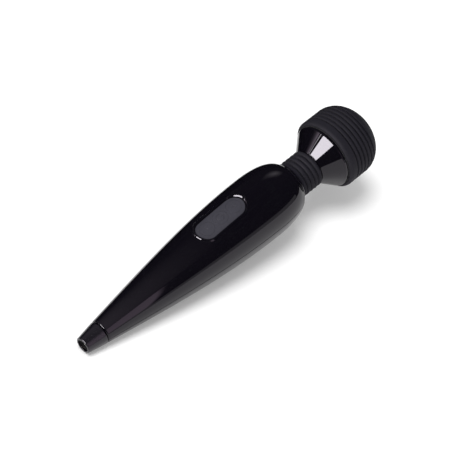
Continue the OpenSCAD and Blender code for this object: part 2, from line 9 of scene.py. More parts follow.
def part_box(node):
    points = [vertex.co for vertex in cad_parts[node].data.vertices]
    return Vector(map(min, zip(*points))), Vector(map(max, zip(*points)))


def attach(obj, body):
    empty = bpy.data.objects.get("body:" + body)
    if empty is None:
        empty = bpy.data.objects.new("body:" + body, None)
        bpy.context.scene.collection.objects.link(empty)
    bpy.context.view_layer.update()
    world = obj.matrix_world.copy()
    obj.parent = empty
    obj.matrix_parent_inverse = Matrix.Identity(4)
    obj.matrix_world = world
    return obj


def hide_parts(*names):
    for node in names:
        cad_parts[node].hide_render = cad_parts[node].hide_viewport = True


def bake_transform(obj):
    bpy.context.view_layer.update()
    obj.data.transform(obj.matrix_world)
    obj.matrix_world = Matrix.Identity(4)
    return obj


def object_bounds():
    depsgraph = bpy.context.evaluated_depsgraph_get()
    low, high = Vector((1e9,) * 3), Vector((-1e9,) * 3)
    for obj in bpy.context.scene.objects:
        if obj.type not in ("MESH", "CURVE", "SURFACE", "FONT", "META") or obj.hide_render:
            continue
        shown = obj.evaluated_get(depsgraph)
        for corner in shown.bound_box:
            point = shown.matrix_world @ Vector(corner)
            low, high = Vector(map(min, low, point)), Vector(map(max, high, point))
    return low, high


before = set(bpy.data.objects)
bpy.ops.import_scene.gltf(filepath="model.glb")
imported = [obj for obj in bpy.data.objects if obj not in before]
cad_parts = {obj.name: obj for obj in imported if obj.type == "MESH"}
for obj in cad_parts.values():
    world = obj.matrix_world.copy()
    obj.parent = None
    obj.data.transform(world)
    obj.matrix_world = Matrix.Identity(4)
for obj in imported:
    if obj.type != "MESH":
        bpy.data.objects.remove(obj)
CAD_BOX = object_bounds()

# Sizes are in millimetres. A station is a distance along the wand from its charging end.
MM = 0.001
ORIGIN_X = CAD_BOX[0][0] / MM
LENGTH = (CAD_BOX[1][0] - CAD_BOX[0][0]) / MM
HEAD_R = (CAD_BOX[1][2] - CAD_BOX[0][2]) / 2 / MM
AXIS_Z = HEAD_R


def span(node, axis=0):
    """Lowest and highest place of a CAD node in mm. Along X these are stations."""
    low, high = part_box(node)
    shift = ORIGIN_X if axis == 0 else 0
    return low[axis] / MM - shift, high[axis] / MM - shift


def point(station, y, z):
    """A place in metres from a station, and from offsets off the wand's axis."""
    return ((ORIGIN_X + station) * MM, y * MM, (AXIS_Z + z) * MM)


# ---- camera ----
CAMERA_ELEVATION = math.radians(51.8)
CAMERA_HEADING = math.radians(44.85)
CAMERA_DISTANCE = 1.665
CAMERA_LENS = 171.3
AIM_STATION = 150
AIM_SHIFT = (0.0055, 0.0035)


def link_object(name, data):
    """A new object in the scene."""
    thing = bpy.data.objects.new(name, data)
    bpy.context.scene.collection.objects.link(thing)
    return thing


def make_camera():
    data = bpy.data.cameras.new("camera")
    data.lens = CAMERA_LENS
    data.shift_x, data.shift_y = AIM_SHIFT
    camera = link_object("camera", data)
    forward = Vector((
        math.cos(CAMERA_HEADING) * math.cos(CAMERA_ELEVATION),
        math.sin(CAMERA_HEADING) * math.cos(CAMERA_ELEVATION),
        -math.sin(CAMERA_ELEVATION),
    ))
    camera.location = Vector(point(AIM_STATION, 0, 0)) - forward * CAMERA_DISTANCE
    camera.rotation_euler = forward.to_track_quat("-Z", "Y").to_euler()
    bpy.context.scene.camera = camera


make_camera()


# ---- outlines, as lists of (station, radius) ----

def bezier(p, steps, first=0):
    """Points on a cubic curve from its four control points."""
    p = [np.array(q, float) for q in p]
    out = []
    for i in range(first, steps + 1):
        t = i / steps
        out.append(tuple(
            (1 - t) ** 3 * p[0] + 3 * t * (1 - t) ** 2 * p[1]
            + 3 * t * t * (1 - t) * p[2] + t ** 3 * p[3]
        ))
    return out


def arc(station, radius, ds, dr, start, end, steps):
    """Elliptic arc about (station, radius). Angle 0 points outwards and 90 towards ds."""
    out = []
    for i in range(steps + 1):
        a = math.radians(start + (end - start) * i / steps)
        out.append((station + ds * math.sin(a), radius + dr * math.cos(a)))
    return out


def run(start, end, step=2.0, margin=0.12):
    """Straight outline from start to end. Close end points keep its shading straight."""
    start, end = np.array(start, float), np.array(end, float)
    length = float(np.linalg.norm(end - start))
    inside = np.linspace(margin, length - margin, max(2, round(length / step)))
    return [tuple(start + (end - start) * d / length) for d in (0, *inside, length)]


SHELL_START, MOUTH = span("upper_shell")
SEAM_R = 9.5
BELLY_R = span("upper_shell", 1)[1]
BELLY_STATION = 182
MOUTH_R = 16
MOUTH_EDGE = 1.6
SHELL_WALL = 2
TAPER = [(SHELL_START, SEAM_R + 0.1), (75, 18.4), (128, BELLY_R), (BELLY_STATION, BELLY_R)]
NOSE = [
    (BELLY_STATION, BELLY_R),
    (BELLY_STATION + 22, BELLY_R),
    (MOUTH - 4.5, 22.7),
    (MOUTH - MOUTH_EDGE, MOUTH_R + MOUTH_EDGE),
]
HANDLE_CURVE = np.array(bezier(TAPER, 400) + bezier(NOSE, 200, 1))


def handle_r(station):
    """Radius of the handle's outer surface at a station."""
    return float(np.interp(station, HANDLE_CURVE[:, 0], HANDLE_CURVE[:, 1]))


# ---- materials ----

class Finish:
    """One material whose grain comes from noise in object space, so its size is real."""

    def __init__(self, name, metallic=0.0, specular=0.5, tint=(1, 1, 1, 1)):
        self.material = bpy.data.materials.new(name)
        self.material.use_nodes = True
        self.nodes = self.material.node_tree.nodes
        self.links = self.material.node_tree.links
        self.shader = self.nodes["Principled BSDF"]
        self.shader.inputs["Metallic"].default_value = metallic
        self.shader.inputs["Specular IOR Level"].default_value = specular
        self.shader.inputs["Specular Tint"].default_value = tint
        self.place = self.nodes.new("ShaderNodeTexCoord").outputs["Object"]
        self.normal = None

    def _scaled(self, size, stretch):
        mapping = self.nodes.new("ShaderNodeMapping")
        mapping.inputs["Scale"].default_value = [1 / (size * MM * k) for k in stretch]
        self.links.new(self.place, mapping.inputs["Vector"])
        return mapping.outputs["Vector"]

    def noise(self, size, stretch=(1, 1, 1), detail=3.0):
        """Noise from 0 to 1 with lumps about size mm across."""
        node = self.nodes.new("ShaderNodeTexNoise")
        node.inputs["Scale"].default_value = 1
        node.inputs["Detail"].default_value = detail
        self.links.new(self._scaled(size, stretch), node.inputs["Vector"])
        return node.outputs["Fac"]

    def cells(self, size, feature="F1"):
        """Distance to scattered points about size mm apart."""
        node = self.nodes.new("ShaderNodeTexVoronoi")
        node.feature = feature
        node.inputs["Scale"].default_value = 1
        self.links.new(self._scaled(size, (1, 1, 1)), node.inputs["Vector"])
        return node.outputs["Distance"]

    def edges(self, low, high):
        """0 on flats and 1 on outer edges, which wear first. With a lower range it is 0 in hollows and 1
        elsewhere, which places painted shade in the hollows.
        """
        node = self.nodes.new("ShaderNodeNewGeometry")
        return self.ranged(node.outputs["Pointiness"], low, high, 0, 1)

    def ranged(self, value, low, high, to_low, to_high):
        """Carries low..high over to to_low..to_high, and stops at both ends."""
        node = self.nodes.new("ShaderNodeMapRange")
        for key, number in zip(("From Min", "From Max", "To Min", "To Max"),
                               (low, high, to_low, to_high)):
            node.inputs[key].default_value = number
        self.links.new(value, node.inputs["Value"])
        return node.outputs["Result"]

    def mixed(self, factor, first, second):
        """Colour between two others, each an rgb tuple or another node's colour."""
        node = self.nodes.new("ShaderNodeMix")
        node.data_type = "RGBA"
        self.links.new(factor, node.inputs[0])
        for socket, colour in ((node.inputs[6], first), (node.inputs[7], second)):
            if isinstance(colour, tuple):
                socket.default_value = (*colour, 1)
            else:
                self.links.new(colour, socket)
        return node.outputs[2]

    def computed(self, operation, first, second):
        """Result of a Math node on two values, each a number or another node's value."""
        node = self.nodes.new("ShaderNodeMath")
        node.operation = operation
        for socket, value in zip(node.inputs, (first, second)):
            if isinstance(value, (int, float)):
                socket.default_value = value
            else:
                self.links.new(value, socket)
        return node.outputs[0]

    def product(self, first, second):
        return self.computed("MULTIPLY", first, second)

    def paint(self, colour):
        self.links.new(colour, self.shader.inputs["Base Color"])

    def rough(self, value):
        self.links.new(value, self.shader.inputs["Roughness"])

    def relief(self, value, depth):
        """Adds bumps about depth mm deep."""
        node = self.nodes.new("ShaderNodeBump")
        node.inputs["Distance"].default_value = depth * MM
        self.links.new(value, node.inputs["Height"])
        if self.normal:
            self.links.new(self.normal, node.inputs["Normal"])
        self.normal = node.outputs["Normal"]
        self.links.new(self.normal, self.shader.inputs["Normal"])


VIOLET_TINT = (0.97, 0.92, 1.0, 1)


def gloss_black():
    """Piano-black ABS with hairline scratches and a trace of warm cloudiness."""
    f = Finish("gloss_black", specular=0.37, tint=VIOLET_TINT)
    cloud = f.noise(22)
    hairs = f.ranged(f.noise(0.5, (60, 1, 1), 1.0), 0.63, 0.7, 0, 1)
    base = f.mixed(cloud, (0.0030, 0.0026, 0.0046), (0.0044, 0.0036, 0.0060))
    f.paint(f.mixed(hairs, base, (0.006, 0.006, 0.008)))
    f.rough(f.ranged(hairs, 0, 1, 0.045, 0.08))
    f.relief(f.noise(9, detail=1.0), 0.004)
    return f.material


def satin_black():
    """The charging end's own cap, moulded with a fine satin surface."""
    f = Finish("satin_black", tint=VIOLET_TINT)
    grain = f.noise(0.35)
    f.paint(f.mixed(f.noise(6), (0.0045, 0.0040, 0.0065), (0.0065, 0.0057, 0.0090)))
    f.rough(f.ranged(grain, 0.3, 0.7, 0.17, 0.27))
    f.relief(grain, 0.003)
    return f.material


def matte_plastic(name, dark, light, rough=0.55, grain_size=0.4):
    """Moulded plastic with a spark-eroded grain and paler edges."""
    f = Finish(name)
    grain = f.noise(grain_size)
    base = f.mixed(f.noise(8), dark, light)
    worn = tuple(min(1.0, 1.5 * c + 0.01) for c in light)
    f.paint(f.mixed(f.edges(0.53, 0.6), base, worn))
    f.rough(f.ranged(grain, 0.3, 0.7, rough - 0.08, rough + 0.08))
    f.relief(grain, 0.012)
    return f.material


def silicone(name, dark, light, rough=0.75, dust=0.03, specular=0.22):
    """Soft-touch silicone: fine powdery grain, specks of dust, and painted shade darkening its grooves
    and hollows.
    """
    f = Finish(name, specular=specular, tint=VIOLET_TINT)
    grain = f.noise(0.22, detail=4.0)
    base = f.mixed(f.noise(12), dark, light)
    # Painted shade: concave places such as the grooves take a quarter of the dark colour, as if shade
    # fell there.
    painted_hollow_shade = tuple(c * 0.25 for c in dark)
    specks = f.ranged(f.cells(2.6), 0.05, 0.09, 1, 0)
    sparse = f.ranged(f.noise(5, detail=0.0), 0.56, 0.62, 0, 1)
    dusty = tuple(c + dust for c in light)
    # The pointiness mask puts the painted shade into the hollows and keeps the plain base elsewhere.
    base_with_painted_shade = f.mixed(f.edges(0.43, 0.5), painted_hollow_shade, base)
    f.paint(f.mixed(f.product(specks, sparse), base_with_painted_shade, dusty))
    f.rough(f.ranged(grain, 0.3, 0.7, rough - 0.07, rough + 0.07))
    f.relief(grain, 0.02)
    f.relief(f.noise(3), 0.02)
    return f.material


def metal(name, dark, light, rough=0.25, brush=(14, 1, 1)):
    """Turned, drawn or plated metal with fine brush lines and brighter edges."""
    f = Finish(name, metallic=1.0)
    lines = f.noise(0.12, brush, 2.0)
    base = f.mixed(f.noise(2.5), dark, light)
    polished = tuple(min(1.0, 1.15 * c) for c in light)
    f.paint(f.mixed(f.edges(0.53, 0.6), base, polished))
    f.rough(f.ranged(lines, 0.3, 0.7, rough - 0.07, rough + 0.1))
    f.relief(lines, 0.004)
    return f.material


def board_laminate():
    """Green solder mask over copper traces."""
    f = Finish("board_laminate")
    tracks = f.ranged(f.cells(2.2, "DISTANCE_TO_EDGE"), 0.08, 0.13, 0, 1)
    base = f.mixed(f.noise(1.5), (0.012, 0.105, 0.045), (0.02, 0.15, 0.065))
    f.paint(f.mixed(tracks, (0.045, 0.23, 0.09), base))
    f.rough(f.ranged(f.noise(0.3), 0.3, 0.7, 0.25, 0.4))
    f.relief(tracks, -0.03)
    return f.material


def shrink_sleeve():
    """Blue heat-shrink film, slightly wrinkled along the cells."""
    f = Finish("shrink_sleeve")
    wrinkles = f.noise(2.4, (6, 1, 1))
    f.paint(f.mixed(f.noise(7), (0.02, 0.075, 0.26), (0.03, 0.11, 0.36)))
    f.rough(f.ranged(wrinkles, 0.3, 0.7, 0.16, 0.32))
    f.relief(wrinkles, 0.05)
    return f.material


def enamelled_copper():
    """Fine enamelled wire laid side by side."""
    f = Finish("enamelled_copper", metallic=1.0)
    strands = f.noise(0.3, (9, 1, 1), 0.0)
    f.paint(f.mixed(strands, (0.42, 0.15, 0.06), (0.78, 0.36, 0.17)))
    f.rough(f.ranged(strands, 0.3, 0.7, 0.22, 0.42))
    f.relief(strands, 0.05)
    return f.material


def wire_sleeve(name, dark, light):
    f = Finish(name, specular=0.45)
    grain = f.noise(0.5, (8, 1, 1))
    f.paint(f.mixed(f.noise(3), dark, light))
    f.rough(f.ranged(grain, 0.3, 0.7, 0.3, 0.45))
    f.relief(grain, 0.01)
    return f.material


MATERIALS = {
    "shell_gloss": gloss_black(),
    "socket_black": matte_plastic("socket_black", (0.010, 0.010, 0.011), (0.016, 0.016, 0.018), 0.42),
    "silicone": silicone("head_silicone", (0.0092, 0.0087, 0.0132), (0.0119, 0.0112, 0.0168)),
    "keypad_silicone": silicone("keypad_silicone", (0.036, 0.035, 0.046), (0.046, 0.045, 0.057),
                                rough=0.55, dust=0.05, specular=0.3),
    "inner_black": matte_plastic("inner_black", (0.018, 0.018, 0.019), (0.028, 0.028, 0.030)),
    "natural_plastic": matte_plastic("natural_plastic", (0.52, 0.50, 0.44), (0.62, 0.60, 0.54), 0.45),
    "board_green": board_laminate(),
    "steel": metal("steel", (0.50, 0.50, 0.52), (0.64, 0.64, 0.66), 0.3),
    "nickel": metal("nickel", (0.60, 0.58, 0.53), (0.74, 0.72, 0.67), 0.38),
    "gold_plate": metal("gold_plate", (0.72, 0.50, 0.18), (0.90, 0.68, 0.32), 0.36),
    "brass": metal("brass", (0.58, 0.40, 0.14), (0.74, 0.55, 0.24), 0.28),
    "copper": enamelled_copper(),
    "cell_sleeve": shrink_sleeve(),
    "ferrite": matte_plastic("ferrite", (0.035, 0.035, 0.037), (0.060, 0.060, 0.062), 0.62, 0.15),
    "rotor_steel": metal("rotor_steel", (0.14, 0.13, 0.125), (0.24, 0.23, 0.22), 0.42, (1, 1, 1)),
    "wire_red": wire_sleeve("wire_red", (0.32, 0.012, 0.012), (0.46, 0.022, 0.020)),
    "wire_grey": wire_sleeve("wire_grey", (0.10, 0.10, 0.11), (0.15, 0.15, 0.16)),
}


def finish_cad_nodes():
    """Every CAD node keeps its mesh and takes the detailed material of its slot."""
    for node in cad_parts.values():
        for place in node.material_slots:
            place.material = MATERIALS[place.material.name.split(".")[0]]


finish_cad_nodes()


# ---- meshes ----
SHARP_ANGLE = math.radians(34)
SOFT_ANGLE = math.radians(60)
MERGE_DISTANCE = 1e-7


def face_outwards(bm):
    """Makes the faces of a closed bmesh point out of it."""
    bmesh.ops.recalc_face_normals(bm, faces=bm.faces)
    if bm.calc_volume(signed=True) < 0:
        bmesh.ops.reverse_faces(bm, faces=bm.faces)


def mesh_object(bm, name, material=None):
    """A new object from a bmesh, which is used up."""
    mesh = bpy.data.meshes.new(name)
    bm.to_mesh(mesh)
    bm.free()
    if material:
        mesh.materials.append(material)
    return link_object(name, mesh)


def add_piece(name, bm, body, node, slot, sharp=SHARP_ANGLE, material=None):
    """Turns a bmesh into a shaded object that stands for a CAD node. With no body it is left unattached.
    """
    bmesh.ops.remove_doubles(bm, verts=bm.verts, dist=MERGE_DISTANCE)
    face_outwards(bm)
    for face in bm.faces:
        face.smooth = True
    for edge in bm.edges:
        if edge.is_manifold:
            edge.smooth = edge.calc_face_angle(0) < sharp
    piece = mesh_object(bm, name, material or MATERIALS[slot])
    if body:
        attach(piece, body)
    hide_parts(node)
    return piece


def circle(radius, sides):
    """Offsets once round a circle."""
    turns = [2 * math.pi * i / sides for i in range(sides)]
    return [(radius * math.cos(a), radius * math.sin(a)) for a in turns]


def bridge(bm, rings):
    """Faces from each closed ring of vertices to the next. A ring of one vertex is a tip."""
    for a, b in zip(rings, rings[1:]):
        count = max(len(a), len(b))
        for i in range(count):
            j = (i + 1) % count
            corners = [a[i % len(a)], a[j % len(a)], b[j % len(b)], b[i % len(b)]]
            unique = list(dict.fromkeys(corners))
            if len(unique) > 2:
                bm.faces.new(unique)


def lathe(outline, turns=224):
    """A bmesh that turns a closed outline round the wand's axis."""
    bm = bmesh.new()
    rings = []
    for station, radius in outline:
        places = circle(radius, turns) if radius > 1e-6 else [(0, 0)]
        rings.append([bm.verts.new(point(station, y, z)) for z, y in places])
    bridge(bm, rings + rings[:1])
    return bm


def conforming_post(bm, station, y, radius, z_base, inset, sign=1, sides=32):
    """A post from z_base up (sign 1) or down (sign -1) to just under the handle's surface."""
    def under_surface(s, v):
        return bm.verts.new(point(s, v, sign * math.sqrt((handle_r(s) - inset) ** 2 - v * v)))

    places = [(station + u, y + v) for u, v in circle(radius, sides)]
    foot = [bm.verts.new(point(s, v, z_base)) for s, v in places]
    top = [under_surface(s, v) for s, v in places]
    bm.faces.new(foot)
    bridge(bm, [foot, top, [under_surface(station, y)]])


def stepped_post(bm, station, y, steps, sides=32):
    """A round post along Z from (z, radius) steps."""
    rings = [[bm.verts.new(point(station + u, y + v, z)) for u, v in circle(radius, sides)]
             for z, radius in steps]
    bm.faces.new(rings[0])
    bm.faces.new(rings[-1])
    bridge(bm, rings)


def loose_object(bm, name):
    """A helper object for a boolean, removed again once it is used."""
    bmesh.ops.triangulate(bm, faces=bm.faces)
    face_outwards(bm)
    return mesh_object(bm, name)


def combine(base, steps):
    """Applies (operation, bmesh) steps to a bmesh and returns the result as a bmesh."""
    target = loose_object(base, "combine_base")
    helpers = []
    for operation, bm in steps:
        helper = loose_object(bm, "combine_step")
        modifier = target.modifiers.new("step", "BOOLEAN")
        modifier.operation = operation
        modifier.solver = "EXACT"
        modifier.object = helper
        helpers.append(helper)
    depsgraph = bpy.context.evaluated_depsgraph_get()
    result = bmesh.new()
    result.from_mesh(target.evaluated_get(depsgraph).to_mesh())
    for helper in helpers + [target]:
        mesh = helper.data
        bpy.data.objects.remove(helper)
        bpy.data.meshes.remove(mesh)
    return result


# ---- keypad outline, shared by the shell, the panel and the keys ----
KEYS = ("key_minus", "key_power", "key_plus")
KEY_STATIONS = [sum(span(k)) / 2 for k in KEYS]
KEYPAD_STATION = KEY_STATIONS[1]
STADIUM_HALF = KEY_STATIONS[2] - KEY_STATIONS[1]
PANEL_HALF_W = span("keypad_panel", 1)[1]
PANEL_GAP = 0.15
RECESS_HALF_W = PANEL_HALF_W + PANEL_GAP
PAD_DEPTH = 1.2
PANEL_THICK = 1.9
PANEL_FLOOR = PAD_DEPTH + PANEL_THICK
LEDGE_THICK = 1.8
LEDGE_MARGIN = 2.4
KEY_R = (span("key_power")[1] - span("key_power")[0]) / 2
LEDGE_HALF_W = KEY_R + 0.5
# The frame's outline: distance out from the recess's wall, and depth under the shell's curve
FRAME_PROFILE = [(2.9, 0), (2.7, -0.02), (2.5, -0.09), (2.3, -0.24), (2.0, -0.5), (1.8, -0.58),
                 (1.6, -0.6), (1.4, -0.58), (1.2, -0.49), (0.9, -0.23), (0.5, 0.15), (0.1, 0.55),
                 (0.02, 0.7), (0, 0.9)]


def stadium_point(half_w, fraction, along, across):
    """A point on a stadium outline, at a fraction of one quadrant from its flank to its end."""
    quarter = math.pi / 2 * half_w
    travel = fraction * (STADIUM_HALF + quarter)
    if travel < STADIUM_HALF:
        ds, y = travel, half_w
    else:
        a = (travel - STADIUM_HALF) / half_w
        ds, y = STADIUM_HALF + half_w * math.sin(a), half_w * math.cos(a)
    return along * ds, across * y


def on_handle(ds, y, depth):
    """A place at a distance from the middle key, a depth under the handle's surface."""
    s = KEYPAD_STATION + ds
    r = handle_r(s) - depth
    return point(s, y, math.sqrt(max(r * r - y * y, 0)))


# ---- handle shells ----
ROW_STEP = 1.25
BLOCK_ROWS = 25
BLOCK_COLUMNS = 26
OUTER_RINGS = 16
INNER_RINGS = 6
RING_SPREAD = 1.4
COLUMN_STEP = 1.5
LAST_COLUMN = 87
CAVITY_END = MOUTH - 4.5
# Stations of the cavity's curve inside the nose, closer together where it bends more
CAVITY_NOSE = (CAVITY_END, 212, 210, 207, 203, 198, 192, 187)
SEAM_WIDTH = 0.3
SEAM_DEPTH = 0.28
TAIL_BORE_R = 7.5
TAIL_BORE_DEPTH = 6.4
BOSS_INSET = 1
UPPER_BOSS_R = 3
LOWER_BOSS_R = 3.7
WELL_R = 2.5
WELL_FLOOR = -7
SCREW_HOLE_R = 1.2
SCREW_HOLE_TOP = 5.5
SCREW_CLEARANCE_R = 1.35
SHELL_SCREWS = [(38, 0), (104, 0), (199, 14), (199, -14)]
BOARD_START, BOARD_END = span("circuit_board")
BOARD_BOTTOM, BOARD_TOP = [z - AXIS_Z for z in span("circuit_board", 2)]
BOARD_SCREW_INSET = 2.6
BOARD_SCREW_Y = 7
BOARD_BOSS_R = 2.3
BOARD_HOLE_R = 0.85
BOARD_HOLE_DEPTH = 3.6
BOARD_SCREWS = [(s, y) for s in (BOARD_START + BOARD_SCREW_INSET, BOARD_END - BOARD_SCREW_INSET)
                for y in (-BOARD_SCREW_Y, BOARD_SCREW_Y)]


def shell_profile():
    """The closed outline of the shell's wall, the number of its outer points, and the keypad's rows."""
    edge = 1.1
    back = round((KEYPAD_STATION - SHELL_START - 1) / ROW_STEP)
    ahead = int((BELLY_STATION - KEYPAD_STATION) / ROW_STEP)
    stations = [KEYPAD_STATION + i * ROW_STEP for i in range(-back, ahead + 1)]
    outer = arc(SHELL_START + edge, SEAM_R + 0.1 - edge, -edge, edge, 90, 0, 5)
    middle_out = len(outer) + back
    outer += [(s, handle_r(s)) for s in stations]
    outer += bezier(NOSE, 40)
    outer += arc(MOUTH - MOUTH_EDGE, MOUTH_R + 0.2, MOUTH_EDGE, MOUTH_EDGE - 0.2, 15, 90, 8)
    inner = [(MOUTH, MOUTH_R), (CAVITY_END, MOUTH_R)]
    inner += [(s, handle_r(s) - SHELL_WALL) for s in CAVITY_NOSE]
    middle_in = len(outer) + len(inner) + ahead
    inner += [(s, handle_r(s) - SHELL_WALL) for s in reversed(stations) if s > SHELL_START + 8]
    last = SHELL_START + TAIL_BORE_DEPTH
    inner += [(last, handle_r(last) - SHELL_WALL), (last, TAIL_BORE_R), (SHELL_START, TAIL_BORE_R)]
    return outer + inner, len(outer), middle_out, middle_in


def half_shell(upper):
    """Upper or lower half shell. The upper one has the keypad's recess, ledge and hole."""
    profile, outer_count, middle_out, middle_in = shell_profile()
    turn = 0 if upper else 180
    columns = int(LAST_COLUMN / COLUMN_STEP)
    bm = bmesh.new()
    grid = []
    for row, (s, r) in enumerate(profile):
        seam = math.degrees(SEAM_WIDTH / r)
        angles = [-90, -90 + seam] + [i * COLUMN_STEP for i in range(-columns, columns + 1)]
        angles += [90 - seam, 90]
        line = []
        for angle in angles:
            sunk = SEAM_DEPTH if abs(angle) == 90 and row < outer_count else 0
            a = math.radians(angle + turn)
            line.append(bm.verts.new(point(s, (r - sunk) * math.sin(a), (r - sunk) * math.cos(a))))
        grid.append(line)
    middle = len(grid[0]) // 2
    blocked = set()
    if upper:
        for centre in (middle_out, middle_in):
            for i in range(centre - BLOCK_ROWS, centre + BLOCK_ROWS):
                for j in range(middle - BLOCK_COLUMNS, middle + BLOCK_COLUMNS):
                    blocked.add((i, j))
    for i, line in enumerate(grid):
        after = grid[(i + 1) % len(grid)]
        for j in range(len(line) - 1):
            if (i, j) not in blocked:
                bm.faces.new([line[j], line[j + 1], after[j + 1], after[j]])
    bm.faces.new([line[0] for line in grid])
    bm.faces.new([line[-1] for line in reversed(grid)])
    if upper:
        fill_keypad_block(bm, grid, middle_out, middle_in, middle)
    loose = [v for v in bm.verts if not v.link_faces]
    bmesh.ops.delete(bm, geom=loose, context="VERTS")
    return bm


def block_path():
    """Grid offsets (row, column) once round the keypad's block."""
    n, m = BLOCK_ROWS, BLOCK_COLUMNS
    path = [(n, j) for j in range(0, m)]
    path += [(i, m) for i in range(n, -n, -1)]
    path += [(-n, j) for j in range(m, -m, -1)]
    path += [(i, -m) for i in range(-n, n)]
    path += [(n, j) for j in range(-m, 0)]
    return path


def fill_keypad_block(bm, grid, middle_out, middle_in, middle):
    """Rings from the outer surface in over the recess and out again to the inner surface."""
    path = block_path()
    length = BLOCK_ROWS * ROW_STEP
    inner_half_w = RECESS_HALF_W + LEDGE_MARGIN

    def border(depth):
        places = []
        for i, j in path:
            ds = i * ROW_STEP
            r = handle_r(KEYPAD_STATION + ds) - depth
            places.append((ds, r * math.sin(math.radians(j * COLUMN_STEP))))
        return places

    def stadium_ring(half_w, depth):
        ring = []
        for (i, j), (ds, y) in zip(path, border(0)):
            height = abs(handle_r(KEYPAD_STATION + math.copysign(length, i))
                         * math.sin(math.radians(BLOCK_COLUMNS * COLUMN_STEP)))
            on_flank = abs(j) == BLOCK_COLUMNS
            travel = abs(ds) if on_flank else length + height - abs(y)
            ring.append(stadium_point(half_w, travel / (length + height),
                                      math.copysign(1, ds), math.copysign(1, y)))
        return [(ds, y, depth) for ds, y in ring]

    def between(half_w, depth, steps):
        near, far = stadium_ring(half_w, depth), border(depth)
        rings = []
        for k in range(1, steps):
            t = (k / steps) ** RING_SPREAD
            rings.append([
                (a[0] + (b[0] - a[0]) * t, a[1] + (b[1] - a[1]) * t, depth)
                for a, b in zip(near, far)
            ])
        return rings

    rings = list(reversed(between(RECESS_HALF_W + FRAME_PROFILE[0][0], 0, OUTER_RINGS)))
    rings += [stadium_ring(RECESS_HALF_W + out, depth) for out, depth in FRAME_PROFILE]
    floor = PANEL_FLOOR + 0.05
    underside = PANEL_FLOOR + LEDGE_THICK
    rings.append(stadium_ring(RECESS_HALF_W, floor))
    rings.append(stadium_ring(LEDGE_HALF_W, floor))
    rings.append(stadium_ring(LEDGE_HALF_W, underside))
    rings.append(stadium_ring(inner_half_w, underside))
    rings.append(stadium_ring(inner_half_w, SHELL_WALL))
    rings += between(inner_half_w, SHELL_WALL, INNER_RINGS)
    lines = [[grid[middle_out + i][middle + j] for i, j in path]]
    for ring in rings:
        lines.append([bm.verts.new(on_handle(ds, y, depth)) for ds, y, depth in ring])
    lines.append([grid[middle_in - i][middle + j] for i, j in path])
    bridge(bm, lines)


def make_shells():
    upper_bosses, upper_holes = bmesh.new(), bmesh.new()
    lower_bosses, lower_holes = bmesh.new(), bmesh.new()
    for s, y in SHELL_SCREWS:
        conforming_post(upper_bosses, s, y, UPPER_BOSS_R, 0, BOSS_INSET)
        stepped_post(upper_holes, s, y, [(-1, SCREW_HOLE_R), (SCREW_HOLE_TOP, SCREW_HOLE_R)])
        conforming_post(lower_bosses, s, y, LOWER_BOSS_R, 0, BOSS_INSET, sign=-1)
        stepped_post(lower_holes, s, y, [
            (-BELLY_R - 1, WELL_R), (WELL_FLOOR, WELL_R),
            (WELL_FLOOR, SCREW_CLEARANCE_R), (1, SCREW_CLEARANCE_R),
        ])
    for s, y in BOARD_SCREWS:
        conforming_post(upper_bosses, s, y, BOARD_BOSS_R, BOARD_TOP, BOSS_INSET)
        stepped_post(upper_holes, s, y, [(BOARD_TOP - 1, BOARD_HOLE_R),
                                         (BOARD_TOP + BOARD_HOLE_DEPTH, BOARD_HOLE_R)])
    upper = combine(half_shell(True), [("UNION", upper_bosses), ("DIFFERENCE", upper_holes)])
    lower = combine(half_shell(False), [("UNION", lower_bosses), ("DIFFERENCE", lower_holes)])
    add_piece("upper_shell_skin", upper, "handle", "upper_shell", "shell_gloss")
    add_piece("lower_shell_skin", lower, "handle", "lower_shell", "shell_gloss")


make_shells()


# ---- charging end ----
END_EDGE = 1.0
SOCKET_R = 5.1
SOCKET_DEPTH = span("jack_housing")[0]
TAIL_LENGTH = SHELL_START - 0.4
TAIL_END_R = 6.8
SPIGOT_R = 7.4
SPIGOT_BORE_R = 5.9
SPIGOT_END = SHELL_START + 5.4
JACK_SHOULDER = TAIL_LENGTH - 2
JACK_SEAT_R = span("jack_housing", 1)[1]


def make_tail_cap():
    lip = 0.3
    shoulder = 0.9
    outline = arc(lip, SOCKET_R + lip, -lip, -lip, 0, 90, 4)
    outline += arc(END_EDGE, TAIL_END_R - END_EDGE, -END_EDGE, END_EDGE, 90, 0, 10)
    outline += run((END_EDGE + 0.1, TAIL_END_R + 0.02), (TAIL_LENGTH - shoulder - 0.1, SEAM_R - 0.07))
    outline += arc(TAIL_LENGTH - shoulder, SEAM_R - 0.05 - shoulder, shoulder, shoulder, 0, 90, 8)
    outline += [(TAIL_LENGTH, SPIGOT_R), (SPIGOT_END, SPIGOT_R), (SPIGOT_END, SPIGOT_BORE_R)]
    outline += [(JACK_SHOULDER, SPIGOT_BORE_R), (JACK_SHOULDER, JACK_SEAT_R)]
    outline += [(SOCKET_DEPTH, JACK_SEAT_R), (SOCKET_DEPTH, SOCKET_R)]
    add_piece("tail_cap_skin", lathe(outline, 128), "handle", "tail_cap", "shell_gloss",
              material=satin_black())


def make_jack_pin():
    """Turned centre pin with a rounded tip."""
    tip, back = span("jack_pin")
    root_r = span("jack_pin", 1)[1]
    pin_r = 1
    tip_round = 0.35
    floor = 11
    outline = [(tip + tip_round, 0)]
    outline += arc(tip + 0.5, pin_r - tip_round, -0.5, tip_round, 90, 0, 6)
    outline += [(floor, pin_r), (floor, root_r), (back, root_r), (back, 0)]
    add_piece("jack_pin_turned", lathe(outline, 40), "handle", "jack_pin", "nickel")


def grid_rim(grid):
    """The vertices once round the edge of a grid."""
    sides = [line[-1] for line in grid[1:]], [line[0] for line in grid[-2:0:-1]]
    return grid[0] + sides[0] + grid[-1][-2::-1] + sides[1]


